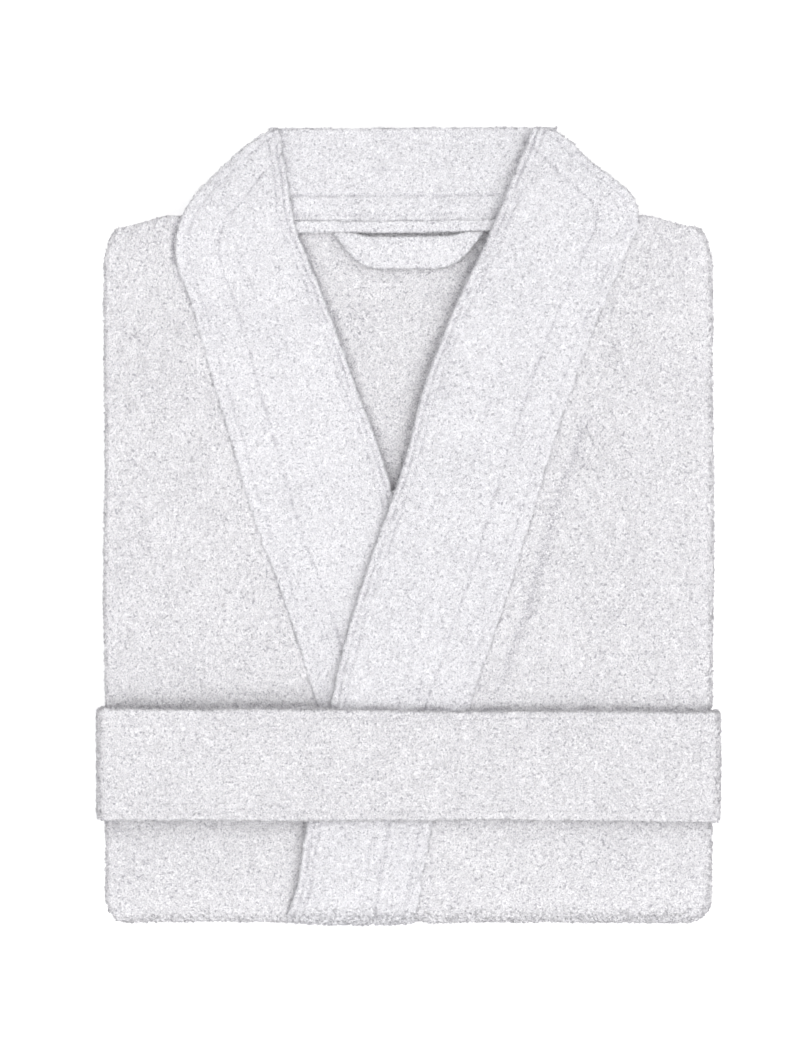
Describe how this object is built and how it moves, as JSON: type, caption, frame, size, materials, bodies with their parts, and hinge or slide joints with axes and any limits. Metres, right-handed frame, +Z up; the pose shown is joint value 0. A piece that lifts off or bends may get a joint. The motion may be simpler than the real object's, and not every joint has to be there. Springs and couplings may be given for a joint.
{
  "type": "bathrobe",
  "caption": "Folded terry bathrobe with a kimono collar, a tied-round belt, a hanging loop and a skirt folded under in two lengths.",
  "frame": {"origin": "on the surface that the folded robe lies on, under the middle of its length and width", "axes": "+Y towards the collar, +Z up out of the robe's front, +X towards the wearer's left side"},
  "size_m": [0.3404, 0.436, 0.0697],
  "materials": {
    "body_terry": "white looped cotton terry, matt",
    "band_terry": "white looped cotton terry sewn double, with rows of topstitching",
    "belt_terry": "white looped cotton terry belt, sewn double",
    "binding_tape": "white flat woven cotton tape"
  },
  "bodies": {
    "torso": {"back_panel": "body_terry", "right_front_panel": "body_terry", "left_front_panel": "body_terry", "right_collar_band": "band_terry", "left_collar_band": "band_terry", "neck_band": "band_terry", "neck_tape": "binding_tape", "right_sleeve": "body_terry", "left_sleeve": "body_terry", "right_cuff": "band_terry", "left_cuff": "band_terry"},
    "loop": {"hanger_loop": "band_terry"},
    "belt_wrap": {"belt": "belt_terry", "belt_tail_right": "belt_terry", "belt_tail_left": "belt_terry"},
    "upper_skirt": {"upper_back": "body_terry", "upper_right_front": "body_terry", "upper_right_band": "band_terry", "upper_left_front": "body_terry", "upper_left_band": "band_terry", "right_pocket": "body_terry", "left_pocket": "body_terry"},
    "lower_skirt": {"lower_back": "body_terry", "back_hem": "body_terry", "lower_right_front": "body_terry", "right_front_hem": "body_terry", "lower_right_band": "band_terry", "lower_left_front": "body_terry", "left_front_hem": "body_terry", "lower_left_band": "band_terry"}
  },
  "joints": [
    {"name": "loop_lift", "type": "hinge", "parent": "torso", "child": "loop", "pos_m": [0, 0.162, 0.0601], "axis": [-1, 0, 0], "range_deg": [0, 165]},
    {"name": "belt_slide", "type": "slide", "parent": "torso", "child": "belt_wrap", "axis": [0, 1, 0], "range_m": [0, 0.385]},
    {"name": "upper_skirt_unfold", "type": "hinge", "parent": "torso", "child": "upper_skirt", "pos_m": [0, -0.21917, 0.04145], "axis": [-1, 0, 0], "range_deg": [0, 179.5]},
    {"name": "lower_skirt_unfold", "type": "hinge", "parent": "upper_skirt", "child": "lower_skirt", "pos_m": [0, 0.1509, 0.01795], "axis": [1, 0, 0], "range_deg": [0, 179.5]}
  ]
}
